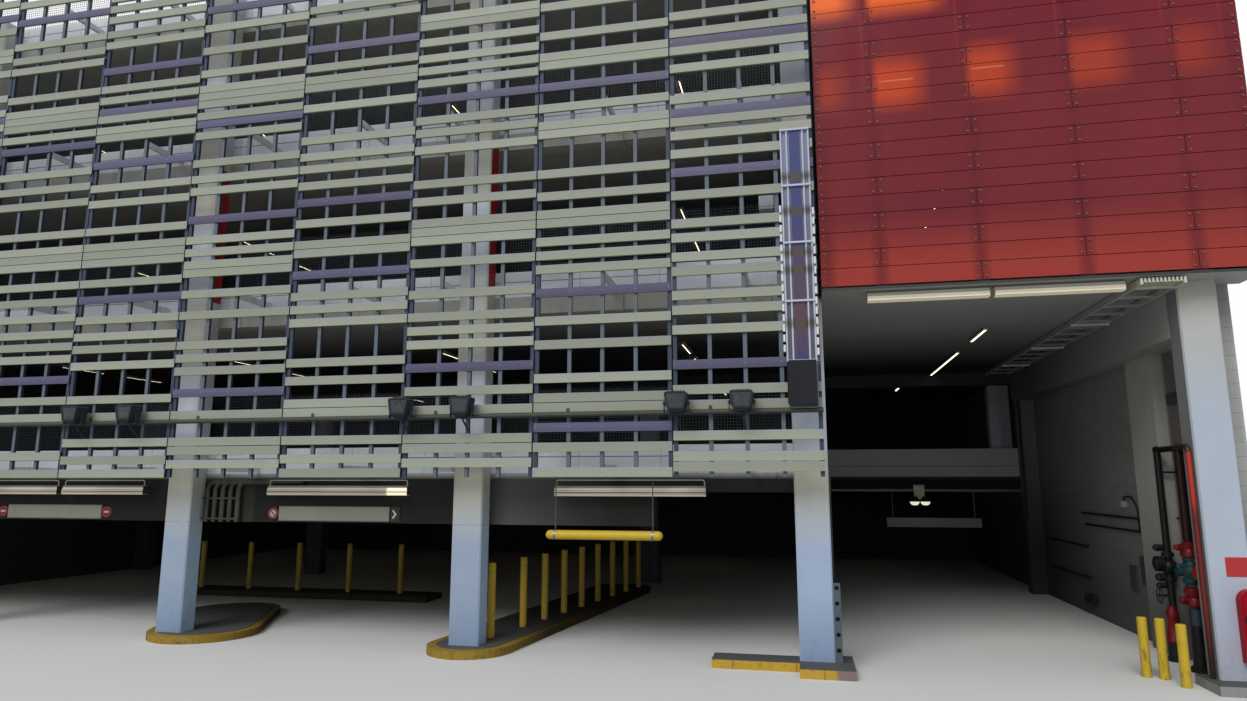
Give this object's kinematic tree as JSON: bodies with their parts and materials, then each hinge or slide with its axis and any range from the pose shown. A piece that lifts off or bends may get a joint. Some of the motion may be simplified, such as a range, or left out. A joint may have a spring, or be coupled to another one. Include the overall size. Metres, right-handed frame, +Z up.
{
  "type": "multi storey car park",
  "caption": "Car park of four storeys with open fronts behind slatted louvre screens, and a tall vehicle bay under red glass cladding at one end.",
  "frame": {"origin": "middle of the whole building's box, at street level", "axes": "+X along the street front towards the red glass bay, +Y from the street into the building, +Z up"},
  "size_m": [27.4, 20.056, 12.93],
  "materials": {
    "concrete_paint": "painted concrete, matt white with grey scuffs",
    "concrete": "bare cast concrete",
    "blockwork": "painted concrete blockwork, light grey",
    "ceiling_board": "smooth grey ceiling board",
    "screen": "pale sage coated slats on grey uprights",
    "galvanised_steel": "galvanised steel, dull",
    "red_glass": "red printed laminated glass",
    "post_paint": "dark purple coated steel",
    "kerb": "cast kerb with yellow painted edges",
    "yellow_paint": "yellow gloss paint on steel pipe",
    "lamp_housing": "white enamelled lamp housings",
    "sign_panel": "grey enamelled sign panels",
    "dark_housing": "charcoal coated metal",
    "white_tube": "white coated tube",
    "red_paint": "red paint on pipework"
  },
  "bodies": {
    "building": {"front_columns": "concrete_paint", "middle_columns": "concrete_paint", "rear_columns": "concrete_paint", "deck_2": "concrete", "deck_3": "concrete", "deck_4": "concrete", "roof_deck": "concrete", "front_beams": "concrete", "rear_beams": "concrete", "side_beams": "concrete", "middle_beams": "concrete", "front_parapets": "concrete_paint", "rear_parapets": "concrete_paint", "side_parapets": "concrete_paint", "rear_walls": "blockwork", "end_walls": "blockwork", "side_wall": "blockwork", "wall_beam": "concrete", "tall_bay_ceiling": "ceiling_board", "front_screen_1": "screen", "front_screen_2": "screen", "front_screen_3": "screen", "front_screen_4": "screen", "front_screen_5": "screen", "side_screen_1": "screen", "side_screen_2": "screen", "side_screen_3": "screen", "rear_screen_1": "screen", "rear_screen_2": "screen", "rear_screen_3": "screen", "rear_screen_4": "screen", "screen_arms": "galvanised_steel", "glass_panes": "red_glass", "glass_posts": "post_paint", "kerb_islands": "kerb", "bollards": "yellow_paint", "bar_hanger": "galvanised_steel", "hanging_lights": "lamp_housing", "ceiling_lights": "lamp_housing", "deck_lights": "lamp_housing", "direction_signs": "sign_panel", "height_board": "sign_panel", "conduits": "galvanised_steel", "floodlight_rail": "galvanised_steel", "floodlights": "dark_housing", "sign_frame": "white_tube", "sign_box": "dark_housing", "cable_tray": "galvanised_steel", "fire_riser": "red_paint", "hose_cabinet": "red_paint", "guard_post": "galvanised_steel"},
    "bar": {"clearance_bar": "yellow_paint", "bar_rods": "galvanised_steel"}
  },
  "joints": [
    {"name": "bar_swing", "type": "hinge", "parent": "building", "child": "bar", "pos_m": [4.605, -9.292, 2.752], "axis": [1, 0, 0], "range_deg": [-30, 30]}
  ]
}
